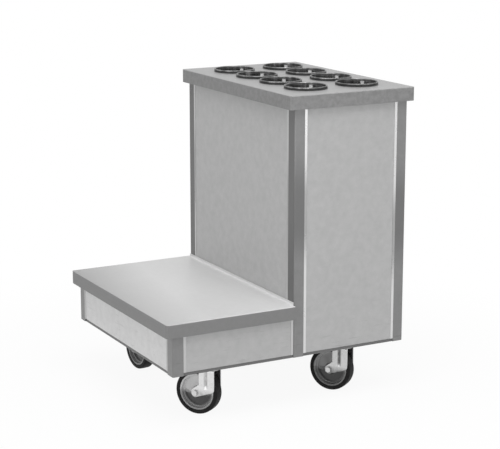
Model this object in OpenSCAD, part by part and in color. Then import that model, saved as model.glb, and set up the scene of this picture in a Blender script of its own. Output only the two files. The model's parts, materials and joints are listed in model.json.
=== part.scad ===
// Flatware and tray cart: a tall cabinet with eight flatware cylinders in its top and a low
// platform for trays beside it, on four swivel casters. Sizes are in millimetres, +Z is up, and
// the origin is on the floor under the middle of the cart. The cabinet is at the +X end, the
// tray shelf at the -X end, and the long side at -Y is called the front.

/* [Body] */
// Height of the cabinet, from the body's bottom edge to its top surface
cabinet_h = 726; // [620:1:820]
// Length of the cabinet between its faces, along the cart
cabinet_l = 358; // [322:1:440]
// Length of the tray shelf's body, from the cabinet to its end face
shelf_l = 366; // [300:1:460]
// Height of the tray surface above the body's bottom edge
shelf_h = 149; // [120:1:240]
// Depth of the body from its front face to its back face
body_d = 635; // [572:1:720]

/* [Tops] */
// Thickness of the formed sheet of both tops
sheet_t = 1.5; // [1:0.1:2.5]
// Height of the cabinet top's turned-down edge
top_skirt_h = 38; // [24:1:50]
// Height of the shelf top's turned-down edge
shelf_skirt_h = 37.5; // [24:0.5:46]
// How far the cabinet top stands past the cabinet's ends
top_over_x = 18; // [12:1:30]
// How far the shelf top stands past the shelf's end face
shelf_over_x = 21; // [12:1:30]
// How far both tops stand past the front and back faces
over_y = 11; // [10:1:26]
// Width of the hem turned in under each edge
hem_w = 8; // [5:1:9]
// Radius of the tops' corners, seen from above
corner_r = 9; // [6:0.5:14]
// Radius of the bend between a top and its edge
edge_r = 3; // [2:0.5:5]
// Height of the shelf's upturned lip against the cabinet
lip_h = 9; // [5:0.5:20]
// Radius of the cove in front of that lip
cove_r = 5; // [2:0.5:8]

/* [Flatware cylinders] */
// Outer diameter of a cylinder's wall
cyl_d = 113; // [90:0.5:122]
// Height of a cylinder, from its foot to the top of its rim
cyl_h = 137; // [100:1:180]
// Thickness of a cylinder's wall and floor
cyl_t = 0.9; // [0.7:0.1:1.6]
// Diameter of the rolled rim's bead
bead_d = 4.8; // [3:0.2:7]
// Radius where the wall turns into the floor
foot_r = 7; // [3:0.5:12]
// Radius of the drain holes in the floor
drain_r = 5; // [2.5:0.5:7]
// Radius of the ring of drain holes
drain_ring_r = 30; // [20:1:38]
// Share of the cabinet top's spare length that lies between the two rows of cylinders
row_share = 0.61; // [0.3:0.01:0.9]
// Share of its spare depth that lies between the cylinders of a row
cyl_share = 0.52; // [0.2:0.01:0.9]
// Wall of the moulded collar in each hole
collar_t = 1.4; // [1:0.1:2]
// Height of the collar above the top
collar_h = 3.8; // [2:0.2:8]
// Width of the collar's flanges past the hole's edge
collar_flange = 1.5; // [1:0.1:2.5]

/* [Frame and panels] */
// Width of a corner post's legs
post_w = 32; // [28:1:45]
// Thickness of the corner posts
post_t = 3; // [2.5:0.1:4]
// Height of the rails' upright leg
rail_h = 32; // [24:1:45]
// Width of the rails' level leg
rail_w = 20; // [16:1:22]
// Thickness of the rails
rail_t = 2.5; // [2:0.1:4]
// Height of the base rail that shows under the panels
band_h = 9; // [4:0.5:16]
// Thickness of the wall panels
panel_t = 2; // [1:0.1:2.2]
// Width of the upright trims at the panels' edges
trim_w = 8; // [5:0.5:12]
// Width of a shelf stiffener
stiffener_w = 40; // [25:1:60]
// Height of a shelf stiffener
stiffener_h = 20; // [12:1:30]
// Distance of each shelf stiffener from the middle of the shelf
stiffener_y = 110; // [60:1:200]

/* [Caster channels] */
// Outside width of a channel
channel_w = 80; // [76:1:100]
// Thickness of a channel
channel_t = 3; // [2.5:0.1:5]
// How far the caster plates lie above the body's bottom edge
caster_recess = 12; // [8:0.5:24]
// Distance of the shelf casters' swivel axes from the shelf's end face
caster_in_shelf = 144; // [70:1:200]
// Distance of the cabinet casters' swivel axes from the cabinet's outer face
caster_in_cabinet = 155; // [70:1:180]
// Distance of the swivel axes from the front and back faces
caster_in_y = 68; // [66:1:140]

/* [Casters] */
// Diameter of the wheels
wheel_d = 127; // [100:1:152]
// Width of the tyres
tyre_w = 32; // [26:0.5:36]
// Thickness of the tyres
tyre_t = 12; // [8:0.5:16]
// Distance of the wheel's axle behind the swivel axis
trail = 34; // [24:0.5:38]
// Length of the wheel's hub
hub_w = 38; // [37:0.5:44]
// Radius of the wheel's hub
hub_r = 15; // [12:0.5:20]
// Diameter of the axle bolt
axle_d = 9.5; // [8:0.5:13]
// Thickness of the fork's sheet
fork_t = 3.2; // [2.5:0.1:5]
// Half the width of a fork leg
leg_a = 23; // [18:0.5:27]
// Height over the axle at which a leg's rear edge starts to run out to the boss
leg_knee = 24; // [20:1:34]
// Height over the axle of a leg's lower front corner
leg_toe = 5; // [0:1:14]
// Radius of the fork's lower ends
boss_r = 12.5; // [11:0.5:16]
// Radius of the fork's round crown
crown_r = 31; // [28:0.5:34]
// Gap between the tyre and the fork's crown
wheel_gap = 5; // [4:0.5:12]
// Height of the ball race between the fork's crown and the top plate
race_h = 18.8; // [16:0.2:24]
// Diameter of the kingpin
king_d = 12; // [8:0.5:16]
// Length of the top plate, across the cart
plate_l = 95; // [90:1:116]
// Width of the top plate, along the cart
plate_w = 67; // [64:1:70]
// Thickness of the top plate
plate_t = 4; // [3:0.1:6]
// Spacing of the plate bolts across the cart
bolt_y = 74; // [72:1:78]
// Spacing of the plate bolts along the cart
bolt_x = 45; // [43:1:47]
// Diameter of the plate bolts
bolt_d = 8; // [6:0.5:8.5]
// Angle of the front left caster's axle from the cart's length, in degrees
angle_front_left = 36; // [0:1:359]
// Angle of the front right caster's axle, in degrees
angle_front_right = 34; // [0:1:359]
// Angle of the back left caster's axle, in degrees
angle_back_left = 185; // [0:1:359]
// Angle of the back right caster's axle, in degrees
angle_back_right = 205; // [0:1:359]

/* [Hidden] */
$fn = 96;
// Clearance round a part that turns on a pin
turn_fit = 0.05;
// Clearance between a part that moves and the part it rests on, and between rim and tyre
seat_gap = 0.3;
// Clearance of a bolt in its hole
bolt_fit = 0.5;
// Clearance of a nut on its thread, and of a collar or ball race in its seat
close_fit = 0.1;
// Clearance round a cylinder in its collar
cyl_gap = 0.5;
// Overlap that fuses two shapes of one solid
sink = 0.5;

// Heights
caster_h = wheel_d + wheel_gap + fork_t + race_h + plate_t;
z_body = caster_h - caster_recess;
z_top = z_body + cabinet_h;
z_shelf = z_body + shelf_h;
z_axle = wheel_d / 2;
z_plate = caster_h - plate_t;
z_crown = z_plate - race_h;

// Places along and across the cart
cart_l = shelf_over_x + shelf_l + cabinet_l + top_over_x;
x_end = shelf_over_x - cart_l / 2;
x_inner = x_end + shelf_l;
x_outer = x_inner + cabinet_l;
y_face = body_d / 2;
cabinet_x = (x_inner + x_outer) / 2;
caster_x = [x_end + caster_in_shelf, x_outer - caster_in_cabinet];
caster_y = y_face - caster_in_y;

// Panels lie on the rails, and the trims come out flush with the posts
panel_recess = post_t - panel_t;
trim_t = 1;
post_in_r = 1;

// Collars and cylinders
bead_lap = 0.2;
collar_in_r = cyl_d / 2 + cyl_gap;
collar_out_r = collar_in_r + collar_t;
hole_r = collar_out_r + close_fit;
z_rim = z_top + collar_h + seat_gap + bead_d;
bead_mid_r = cyl_d / 2 - cyl_t + bead_d / 2 - bead_lap;
drain_count = 6;

// Spacing of the cylinders: the room inside the cabinet's top frame that their rims leave over
// is shared out between them and the frame
rim_out_d = 2 * max(bead_mid_r + bead_d / 2, hole_r + collar_flange);
room_x = cabinet_l - 2 * (post_t + rail_w);
room_y = body_d - 2 * (post_t + rail_w);
pitch_x = rim_out_d + (room_x - 2 * rim_out_d) * row_share;
pitch_y = rim_out_d + (room_y - 4 * rim_out_d) * cyl_share / 3;

// Casters
tyre_in_r = wheel_d / 2 - tyre_t;
tyre_round_r = 4;
rim_t = 5.5;
web_hub_t = 18;
web_rim_t = 7;
leg_gap = 0.6;
leg_in = hub_w / 2 + leg_gap;
leg_out = leg_in + fork_t;
leg_toe_r = 8;
bend_in_r = 4;
rim_inset = 1.5;
axle_bore_r = axle_d / 2 + turn_fit;
plate_corner_r = 6;
cup_inset = 2;
cup_r = crown_r - cup_inset;
cup_t = 3;
cup_h = race_h / 2;
race_w = 4;
cone_r = cup_r - cup_t - race_w;
cone_gap = 3;
cone_foot_h = race_h - cup_h - seat_gap;
king_head_over = 4.5;
king_head_r = king_d / 2 + king_head_over;
king_head_h = 3.8;
hex_axle_r = axle_d * 0.87;
axle_head_h = axle_d * 0.6;
hex_bolt_r = bolt_d * 0.94;
bolt_head_h = bolt_d * 0.65;

// Places of the casters and cylinders, in the order of their names
front_left = [caster_x[0], -caster_y, angle_front_left];
front_right = [caster_x[1], -caster_y, angle_front_right];
back_left = [caster_x[0], caster_y, angle_back_left];
back_right = [caster_x[1], caster_y, angle_back_right];
CASTERS = [front_left, front_right, back_left, back_right];
CYLINDERS = [for (row = [0:3], col = [0:1])
    [cabinet_x + (col - 0.5) * pitch_x, (row - 1.5) * pitch_y]];

// A block with upright round corners, its lower corner at the origin
module round_block(l, d, h, r) {
    for (x = [r, l - r], y = [r, d - r]) translate([x, y, 0]) cylinder(r = r, h = h);
    translate([r, 0, 0]) cube([l - 2 * r, d, h]);
    translate([0, r, 0]) cube([l, d - 2 * r, h]);
}

// Outline of an edge-on top: a rectangle whose two upper corners are bent round
module bent_section(l, h, bend) {
    square([l, h - bend]);
    translate([bend, 0]) square([l - 2 * bend, h]);
    for (x = [bend, l - bend]) translate([x, h - bend]) circle(r = bend);
}

// A block with round corners and bent upper edges, its upper face at z = 0
module bent_block(l, d, h, corner, bend) {
    translate([0, 0, -h]) intersection() {
        round_block(l, d, h, corner);
        translate([0, d, 0]) rotate([90, 0, 0]) linear_extrude(d) bent_section(l, h, bend);
        rotate([90, 0, 90]) linear_extrude(l) bent_section(d, h, bend);
    }
}

// A formed sheet top: turned down all round, with a hem turned in under its edge
module formed_top(l, d, h) {
    t = sheet_t;
    difference() {
        bent_block(l, d, h, corner_r, edge_r);
        translate([t, t, -t]) bent_block(l - 2 * t, d - 2 * t, h - 2 * t, corner_r - t, edge_r - t);
        translate([hem_w, hem_w, -h - t]) cube([l - 2 * hem_w, d - 2 * hem_w, h]);
    }
}

module cabinet_top() {
    color("#b4b6b8") difference() {
        translate([x_inner - top_over_x, -y_face - over_y, z_top])
            formed_top(cabinet_l + 2 * top_over_x, body_d + 2 * over_y, top_skirt_h);
        for (c = CYLINDERS)
            translate([c.x, c.y, z_top - 2 * sheet_t]) cylinder(r = hole_r, h = 4 * sheet_t);
    }
}

// The shelf's sheet is formed like the cabinet top, but at the cabinet it turns up into a lip
module shelf_top() {
    spare = 2 * shelf_skirt_h;
    d = body_d + 2 * over_y;
    color("#c3c5c6") {
        difference() {
            translate([x_end - shelf_over_x, -d / 2, z_shelf])
                formed_top(shelf_over_x + shelf_l + spare, d, shelf_skirt_h);
            translate([x_inner, -d, z_shelf - spare]) cube([2 * spare, 2 * d, 2 * spare]);
        }
        translate([x_inner, y_face, z_shelf - sheet_t]) rotate([90, 0, 0]) linear_extrude(body_d) {
            translate([-sheet_t, 0]) square([sheet_t, sheet_t + lip_h]);
            difference() {
                translate([-sheet_t - cove_r, 0]) square([sheet_t + cove_r, sheet_t + cove_r]);
                translate([-sheet_t - cove_r, sheet_t + cove_r]) circle(r = cove_r);
            }
        }
    }
}

// A wall is drawn with x along it, y into the body and z up. Each of these puts walls on a side.
module on_front(x = 0) translate([x, -y_face, 0]) children();
module on_back(x = 0) mirror([0, 1, 0]) on_front(x) children();
module on_outer(x) translate([x, -y_face, 0]) rotate(90) children();
module on_inner(x) translate([x, y_face, 0]) rotate(-90) children();

// A corner post of bent angle, its outer corner at the origin and its legs along x and y
module post(z_high) {
    bend = post_t + post_in_r;
    color("#7f8285") translate([0, 0, z_body]) linear_extrude(z_high - z_body) difference() {
        union() {
            translate([bend, 0]) square([post_w - bend, post_w]);
            translate([0, bend]) square([post_w, post_w - bend]);
            translate([bend, bend]) circle(r = bend);
        }
        translate([post_t, post_t]) square(post_w);
    }
}

module post_inner_front() on_front(x_inner) post(z_top - sheet_t);
module post_inner_back() on_back(x_inner) post(z_top - sheet_t);
module post_outer_front() on_outer(x_outer) post(z_top - sheet_t);
module post_outer_back() mirror([0, 1, 0]) post_outer_front();
module post_shelf_front() on_front(x_end) post(z_shelf - sheet_t);
module post_shelf_back() on_back(x_end) post(z_shelf - sheet_t);

// An angle rail that crosses the body between its side posts, its upright leg from z_low and
// its level leg at z_leg
module cross_rail(z_low, z_leg, back = post_t) {
    l = body_d - 2 * post_t;
    translate([post_t, back, z_low]) cube([l, rail_t, rail_h]);
    translate([post_t + rail_t, back, z_leg]) cube([l - 2 * rail_t, rail_w, rail_t]);
}

// An angle rail along a side, between the faces at a and b. Where a cross rail starts at a or b,
// the legs stop at its legs, and its level leg stops at this rail's upright leg.
module side_rail(a, b, cross_a, cross_b, z_low, z_leg) {
    up_a = a + (cross_a ? rail_t : 0);
    up_b = b - (cross_b ? rail_t : 0);
    level_a = a + (cross_a ? rail_w : 0);
    level_b = b - (cross_b ? rail_w : 0);
    translate([up_a, post_t, z_low]) cube([up_b - up_a, rail_t, rail_h]);
    translate([level_a, post_t, z_leg]) cube([level_b - level_a, rail_w, rail_t]);
}

module base_cross_rail() color("#6f7275") cross_rail(z_body, z_body);
module base_side_rail(a, b, cross_b)
    color("#6f7275") side_rail(a + post_t, b, true, cross_b, z_body, z_body);

module base_rail_cabinet_front() on_front() base_side_rail(x_inner, x_outer - post_t, true);
module base_rail_cabinet_back() on_back() base_side_rail(x_inner, x_outer - post_t, true);
module base_rail_cabinet_outer() on_outer(x_outer) base_cross_rail();
module base_rail_cabinet_inner() on_inner(x_inner) base_cross_rail();
module base_rail_shelf_front() on_front() base_side_rail(x_end, x_inner, false);
module base_rail_shelf_back() on_back() base_side_rail(x_end, x_inner, false);
module base_rail_shelf_end() on_inner(x_end) base_cross_rail();

// The welded ring of angle that a sheet top sits on, its level legs just under z_high
module top_ring(x_a, x_b, back_b, z_high) {
    z_low = z_high - rail_h;
    z_leg = z_high - rail_t;
    on_inner(x_a) cross_rail(z_low, z_leg);
    on_outer(x_b) cross_rail(z_low, z_leg, back_b);
    on_front() side_rail(x_a + post_t, x_b - back_b, true, true, z_low, z_leg);
    on_back() side_rail(x_a + post_t, x_b - back_b, true, true, z_low, z_leg);
}

module cabinet_top_frame() color("#6f7275") top_ring(x_inner, x_outer, post_t, z_top - sheet_t);
module shelf_frame() color("#6f7275") top_ring(x_end, x_inner, 0, z_shelf - sheet_t);

// Two channels under the shelf's sheet, open downwards, between the ends of the shelf frame
module shelf_stiffeners() {
    l = shelf_l - post_t - 2 * rail_w;
    color("#8c8f92") for (y = [-stiffener_y, stiffener_y])
        translate([x_end + post_t + rail_w, y - stiffener_w / 2, z_shelf - sheet_t - stiffener_h])
            difference() {
                cube([l, stiffener_w, stiffener_h]);
                translate([-sink, sheet_t, -sink])
                    cube([l + 2 * sink, stiffener_w - 2 * sheet_t, stiffener_h - sheet_t + sink]);
            }
}

// Puts its children at the plate bolts of the caster c
module at_plate_bolts(c)
    for (x = [-bolt_x / 2, bolt_x / 2], y = [-bolt_y / 2, bolt_y / 2])
        translate([c.x + x, c.y + y, 0]) children();

// A channel across the cart, open downwards, that two casters are bolted up into
module caster_channel(casters) {
    l = body_d - 2 * post_t - 2 * rail_t;
    z_foot = z_body + rail_t;
    h = caster_h + channel_t - z_foot;
    color("#8c8f92") difference() {
        translate([casters[0].x - channel_w / 2, -l / 2, z_foot]) cube([channel_w, l, h]);
        translate([casters[0].x - channel_w / 2 + channel_t, -l, z_foot - h])
            cube([channel_w - 2 * channel_t, 2 * l, 2 * h - channel_t]);
        for (c = casters) at_plate_bolts(c)
            translate([0, 0, caster_h - channel_t]) cylinder(r = bolt_d / 2 + bolt_fit, h = 3 * channel_t);
    }
}

module caster_channel_shelf() caster_channel([front_left, back_left]);
module caster_channel_cabinet() caster_channel([front_right, back_right]);

// A wall panel between the posts at a and b, up to z_high
module panel(a, b, z_high)
    translate([a + trim_t, panel_recess, z_body + band_h])
        cube([b - a - 2 * trim_t, panel_t, z_high - z_body - band_h]);

// The two trims of such a panel, each folded round one upright edge of it
module panel_trims(a, b, z_high)
    translate([0, 0, z_body + band_h]) linear_extrude(z_high - z_body - band_h)
        for (side = [0, 1]) translate([side * (a + b), 0]) mirror([side, 0]) {
            translate([a, 0]) square([trim_w, panel_recess]);
            translate([a, 0]) square([trim_t, post_t]);
        }

// A wall between the posts at a and b: its panel, or its trims
module wall(a, b, z_high, trims) if (trims) panel_trims(a, b, z_high); else panel(a, b, z_high);

module inner_wall(trims) on_inner(x_inner) wall(post_w, body_d - post_w, z_top - sheet_t, trims);
module outer_wall(trims) on_outer(x_outer) wall(post_w, body_d - post_w, z_top - sheet_t, trims);
module front_wall(trims) on_front() wall(x_inner + post_w, x_outer - post_w, z_top - sheet_t, trims);
module back_wall(trims) on_back() wall(x_inner + post_w, x_outer - post_w, z_top - sheet_t, trims);
module shelf_end_wall(trims) on_inner(x_end) wall(post_w, body_d - post_w, z_shelf - sheet_t, trims);
module shelf_front_wall(trims) on_front() wall(x_end + post_w, x_inner, z_shelf - sheet_t, trims);
module shelf_back_wall(trims) on_back() wall(x_end + post_w, x_inner, z_shelf - sheet_t, trims);

module panel_inner() color("#a9abad") inner_wall(false);
module panel_outer() color("#b4b6b8") outer_wall(false);
module panel_front() color("#b4b6b8") front_wall(false);
module panel_back() color("#b4b6b8") back_wall(false);
module shelf_panel_end() color("#c6c8ca") shelf_end_wall(false);
module shelf_panel_front() color("#b4b6b8") shelf_front_wall(false);
module shelf_panel_back() color("#b4b6b8") shelf_back_wall(false);

module cabinet_panel_trims() color("#e4e5e6") {
    inner_wall(true);
    outer_wall(true);
    front_wall(true);
    back_wall(true);
}

module shelf_panel_trims() color("#e4e5e6") {
    shelf_end_wall(true);
    shelf_front_wall(true);
    shelf_back_wall(true);
}

// Moulded collars in the cabinet top's holes, flanged above and below the sheet
module cylinder_collars() color("#1b1b1d")
    for (c = CYLINDERS) translate([c.x, c.y, z_top - sheet_t]) rotate_extrude() {
        w = hole_r + collar_flange - collar_in_r;
        lower_h = 2;
        round_r = collar_t / 2;
        translate([collar_in_r, -lower_h]) square([w, lower_h]);
        translate([collar_in_r, -sink]) square([collar_t, sheet_t + 2 * sink]);
        translate([collar_in_r, sheet_t]) square([w, collar_h - round_r]);
        translate([collar_in_r, sheet_t]) square([w - round_r, collar_h]);
        translate([collar_in_r + w - round_r, sheet_t + collar_h - round_r]) circle(r = round_r);
    }

// Half section of a cup of radius r and height h, with its foot rounded
module cup_section(r, h, foot) {
    translate([0, foot]) square([r, h - foot]);
    square([r - foot, h]);
    translate([r - foot, foot]) circle(r = foot);
}

// A flatware cylinder: a drawn cup with a rolled rim, and holes in its floor to drain
module flatware_cylinder(number) {
    c = CYLINDERS[number - 1];
    wall_h = cyl_h - bead_d / 2;
    color("#a7aaad") translate([c.x, c.y, z_rim - cyl_h]) difference() {
        rotate_extrude() {
            difference() {
                cup_section(cyl_d / 2, wall_h, foot_r);
                translate([0, cyl_t]) cup_section(cyl_d / 2 - cyl_t, wall_h, foot_r - cyl_t);
            }
            translate([bead_mid_r, wall_h]) circle(d = bead_d);
        }
        translate([0, 0, -sink]) {
            cylinder(r = drain_r, h = cyl_t + 2 * sink);
            for (i = [1:drain_count]) rotate(i * 360 / drain_count) translate([drain_ring_r, 0, 0])
                cylinder(r = drain_r, h = cyl_t + 2 * sink);
        }
    }
}

// The fixed top plate of a caster, with its pressed cup and the kingpin riveted under the fork
module caster_plate(c) color("#a2a5a8") translate([c.x, c.y, 0]) {
    z_head = z_crown - fork_t - seat_gap - king_head_h;
    difference() {
        translate([-plate_w / 2, -plate_l / 2, z_plate])
            round_block(plate_w, plate_l, plate_t, plate_corner_r);
        at_plate_bolts([0, 0])
            translate([0, 0, z_plate - plate_t]) cylinder(r = bolt_d / 2 + bolt_fit, h = 3 * plate_t);
    }
    translate([0, 0, z_plate - cup_h]) difference() {
        cylinder(r = cup_r, h = cup_h + sink);
        translate([0, 0, -sink]) cylinder(r = cup_r - cup_t, h = cup_h + sink);
    }
    translate([0, 0, z_head]) cylinder(d = king_d, h = z_plate - z_head + sink);
    translate([0, 0, z_head]) cylinder(r = king_head_r, h = king_head_h);
}

// Hexagon bolts up through the plates and channels, each with its nut
module plate_bolts() color("#c9cbcd")
    for (c = CASTERS) at_plate_bolts(c) {
        z_nut = caster_h + channel_t;
        h = bolt_head_h;
        translate([0, 0, z_plate - h]) cylinder(r = hex_bolt_r, h = h, $fn = 6);
        translate([0, 0, z_plate - sink]) cylinder(d = bolt_d, h = z_nut + bolt_d + sink - z_plate);
        translate([0, 0, z_nut]) difference() {
            cylinder(r = hex_bolt_r, h = h, $fn = 6);
            translate([0, 0, -sink]) cylinder(r = bolt_d / 2 + close_fit, h = h + 2 * sink);
        }
    }

// The ring that holds each caster's balls, pressed into the cup round the fork's cone
module swivel_ball_races() color("#8a8d90")
    for (c = CASTERS) translate([c.x, c.y, z_plate - cup_h + close_fit]) difference() {
        h = cup_h - cone_gap;
        cylinder(r = cup_r - cup_t - close_fit, h = h);
        translate([0, 0, -sink]) cylinder(r = cone_r + seat_gap, h = h + 2 * sink);
    }

// Where the tangent from the point p touches the circle of radius r round the point c
function tangent(p, c, r, side) =
    let (v = c - p, d = norm(v), a = atan2(v.y, v.x) + side * asin(r / d))
    p + sqrt(d * d - r * r) * [cos(a), sin(a)];

// Side view of a fork leg: a broad cheek with an upright front edge and a round lower corner,
// whose lower and rear edges run out to the axle's boss behind it
module leg_outline() {
    axle = [trail, z_axle];
    knee = [leg_a, z_axle + leg_knee];
    toe = [leg_toe_r - leg_a, z_axle + leg_toe + leg_toe_r];
    less_r = boss_r - leg_toe_r;
    down = (tangent(toe, axle, less_r, -1) - axle) / less_r;
    polygon([
        [-leg_a, z_crown], [-leg_a, toe.y], toe + leg_toe_r * down, axle + boss_r * down, axle,
        tangent(knee, axle, boss_r, 1), knee, [leg_a, z_crown]
    ]);
    translate(toe) circle(r = leg_toe_r);
    translate(axle) circle(r = boss_r);
}

// Front view of a bent strip's outer or inner face: an arch with two round upper corners
module arch(half, z_high, bend) {
    z_low = z_axle - 2 * boss_r;
    translate([-half, z_low]) square([2 * half, z_high - bend - z_low]);
    translate([-half + bend, z_low]) square([2 * (half - bend), z_high - z_low]);
    for (x = [bend - half, half - bend]) translate([x, z_high - bend]) circle(r = bend);
}

// The pressed fork: both legs and the crown from one strip, with the ball race's cone on top
module fork(c) {
    spare = 4 * crown_r;
    color("#b9bbbd") translate([c.x, c.y, 0]) rotate(c[2]) difference() {
        union() {
            intersection() {
                rotate([90, 0, 0]) linear_extrude(spare, center = true) difference() {
                    arch(leg_out, z_crown, bend_in_r + fork_t);
                    translate([0, -sink]) arch(leg_in, z_crown - fork_t + sink, bend_in_r);
                }
                rotate([90, 0, 90]) linear_extrude(spare, center = true) leg_outline();
            }
            translate([0, 0, z_crown - fork_t]) cylinder(r = crown_r, h = fork_t);
            translate([0, 0, z_crown - sink]) cylinder(r = cup_r - cup_t, h = cone_foot_h + sink);
            translate([0, 0, z_crown]) cylinder(r = cone_r, h = race_h - cone_gap);
        }
        translate([0, 0, z_crown - spare / 2]) cylinder(r = king_d / 2 + turn_fit, h = spare);
        translate([0, trail, z_axle]) rotate([0, 90, 0])
            cylinder(r = axle_d / 2 + close_fit, h = spare, center = true);
    }
}

// Puts its children on the axle of the caster c, with z along the axle
module at_axle(c)
    translate([c.x, c.y, 0]) rotate(c[2]) translate([0, trail, z_axle]) rotate([0, 90, 0]) children();

// The axle bolt, with its head outside one leg and its nut outside the other
module axle(c) color("#d0d2d3") at_axle(c) {
    h = axle_head_h;
    translate([0, 0, -leg_out - h]) cylinder(r = hex_axle_r, h = h, $fn = 6);
    translate([0, 0, -leg_out - sink]) cylinder(d = axle_d, h = 2 * leg_out + axle_d + sink);
    translate([0, 0, leg_out]) difference() {
        cylinder(r = hex_axle_r, h = h, $fn = 6);
        translate([0, 0, -sink]) cylinder(r = axle_d / 2 + close_fit, h = h + 2 * sink);
    }
}

// The wheel centre: a hub, a dished web and a rim, revolved about the axle
module wheel(c) color("#8f9194") at_axle(c) rotate_extrude() {
    rim_in = tyre_in_r - rim_t;
    rim_w = tyre_w - 2 * rim_inset;
    translate([axle_bore_r, -hub_w / 2]) square([hub_r - axle_bore_r, hub_w]);
    polygon([
        [hub_r - sink, -web_hub_t / 2], [rim_in + sink, -web_rim_t / 2],
        [rim_in + sink, web_rim_t / 2], [hub_r - sink, web_hub_t / 2]
    ]);
    translate([rim_in, -rim_w / 2]) square([rim_t - seat_gap, rim_w]);
}

// The tyre, with its two shoulders rounded
module tyre(c) color("#1d1d1f") at_axle(c) rotate_extrude() translate([tyre_in_r, -tyre_w / 2]) {
    square([tyre_t - tyre_round_r, tyre_w]);
    translate([0, tyre_round_r]) square([tyre_t, tyre_w - 2 * tyre_round_r]);
    for (y = [tyre_round_r, tyre_w - tyre_round_r])
        translate([tyre_t - tyre_round_r, y]) circle(r = tyre_round_r);
}

cabinet_top();
shelf_top();
post_inner_front();
post_inner_back();
post_outer_front();
post_outer_back();
post_shelf_front();
post_shelf_back();
base_rail_cabinet_front();
base_rail_cabinet_back();
base_rail_cabinet_outer();
base_rail_cabinet_inner();
base_rail_shelf_front();
base_rail_shelf_back();
base_rail_shelf_end();
cabinet_top_frame();
shelf_frame();
shelf_stiffeners();
caster_channel_shelf();
caster_channel_cabinet();
panel_inner();
panel_front();
panel_back();
panel_outer();
shelf_panel_front();
shelf_panel_back();
shelf_panel_end();
cabinet_panel_trims();
shelf_panel_trims();
caster_plate(front_left);  // caster_plate_front_left
caster_plate(front_right);  // caster_plate_front_right
caster_plate(back_left);  // caster_plate_back_left
caster_plate(back_right);  // caster_plate_back_right
plate_bolts();
swivel_ball_races();
cylinder_collars();
flatware_cylinder(1);  // flatware_cylinder_1
flatware_cylinder(2);  // flatware_cylinder_2
flatware_cylinder(3);  // flatware_cylinder_3
flatware_cylinder(4);  // flatware_cylinder_4
flatware_cylinder(5);  // flatware_cylinder_5
flatware_cylinder(6);  // flatware_cylinder_6
flatware_cylinder(7);  // flatware_cylinder_7
flatware_cylinder(8);  // flatware_cylinder_8
fork(front_left);  // fork_front_left
fork(front_right);  // fork_front_right
fork(back_left);  // fork_back_left
fork(back_right);  // fork_back_right
axle(front_left);  // axle_front_left
axle(front_right);  // axle_front_right
axle(back_left);  // axle_back_left
axle(back_right);  // axle_back_right
wheel(front_left);  // wheel_front_left
wheel(front_right);  // wheel_front_right
wheel(back_left);  // wheel_back_left
wheel(back_right);  // wheel_back_right
tyre(front_left);  // tyre_front_left
tyre(front_right);  // tyre_front_right
tyre(back_left);  // tyre_back_left
tyre(back_right);  // tyre_back_right
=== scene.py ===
# %% [markdown]
# A cart for a cafeteria line: forks, knives and spoons stand in eight steel cylinders in the
# tall cabinet, and trays are stacked on the low shelf beside it. The solids, joints and sizes
# come ready made from the packed model. This lesson dresses them: it replaces some of them by
# finer surfaces worked out with numpy, and gives every one a finish made of shader nodes.
# Everything is in metres, +Z is up, the shelf is at -X and the long side seen first is at -Y.

# %% Load the packed cart
import json

import bmesh
import bpy
import numpy as np
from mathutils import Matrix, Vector


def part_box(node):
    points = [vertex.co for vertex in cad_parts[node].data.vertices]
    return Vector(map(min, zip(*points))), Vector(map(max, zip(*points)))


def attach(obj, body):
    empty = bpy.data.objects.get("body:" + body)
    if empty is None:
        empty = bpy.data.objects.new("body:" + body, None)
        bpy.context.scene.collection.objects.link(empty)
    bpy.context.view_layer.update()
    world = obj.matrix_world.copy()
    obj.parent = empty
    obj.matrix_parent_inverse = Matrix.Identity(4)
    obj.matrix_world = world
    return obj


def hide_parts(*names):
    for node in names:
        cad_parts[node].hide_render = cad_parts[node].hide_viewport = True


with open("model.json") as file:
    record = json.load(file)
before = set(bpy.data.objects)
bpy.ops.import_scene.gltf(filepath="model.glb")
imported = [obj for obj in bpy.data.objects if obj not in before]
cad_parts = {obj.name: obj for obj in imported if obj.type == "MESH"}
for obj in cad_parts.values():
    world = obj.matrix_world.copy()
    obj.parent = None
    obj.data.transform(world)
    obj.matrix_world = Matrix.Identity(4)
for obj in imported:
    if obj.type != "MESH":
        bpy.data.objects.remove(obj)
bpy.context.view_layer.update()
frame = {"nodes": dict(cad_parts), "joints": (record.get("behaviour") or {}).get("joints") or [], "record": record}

nodes = frame["nodes"]
joints = {joint["name"]: joint for joint in frame["joints"]}
slot_of = {part["node"]: part["material_slot"] for part in frame["record"]["subparts"]}
corners = ["front_left", "front_right", "back_left", "back_right"]

# %% [markdown]
# The photograph was taken from the shelf end, a little above the cabinet's top, with a long
# lens. The camera's place was found by lining up the cart's corners with the picture. Shifting
# the lens would keep the upright edges parallel, but a camera that is only turned also keeps the
# cart in the middle of every other view.

# %% Place the camera
picture_width = 500
sensor_width = 36.0
focal_pixels = 1559.9
turn = np.radians(-28.348)
tilt = np.radians(12.815)
camera_place = (-2.0439, -3.8664, 1.4538)

camera_data = bpy.data.cameras.new("photo_camera")
camera = bpy.data.objects.new("photo_camera", camera_data)
bpy.context.scene.collection.objects.link(camera)
camera_data.sensor_width = sensor_width
camera_data.lens = focal_pixels * sensor_width / picture_width
camera.location = camera_place
camera.rotation_euler = (np.pi / 2 - tilt, 0, turn)
bpy.context.scene.camera = camera
print("lens", round(camera_data.lens, 1), "mm")

# %% [markdown]
# Shader maths could be wired by hand, one Math node after another, but it reads best as plain
# sums. A small class wraps a socket, so that an expression such as 1 - mask * 0.2 adds the Math
# nodes itself. Every other kind of node comes from one method that is told the node's type, its
# settings and what goes into its sockets.

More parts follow.
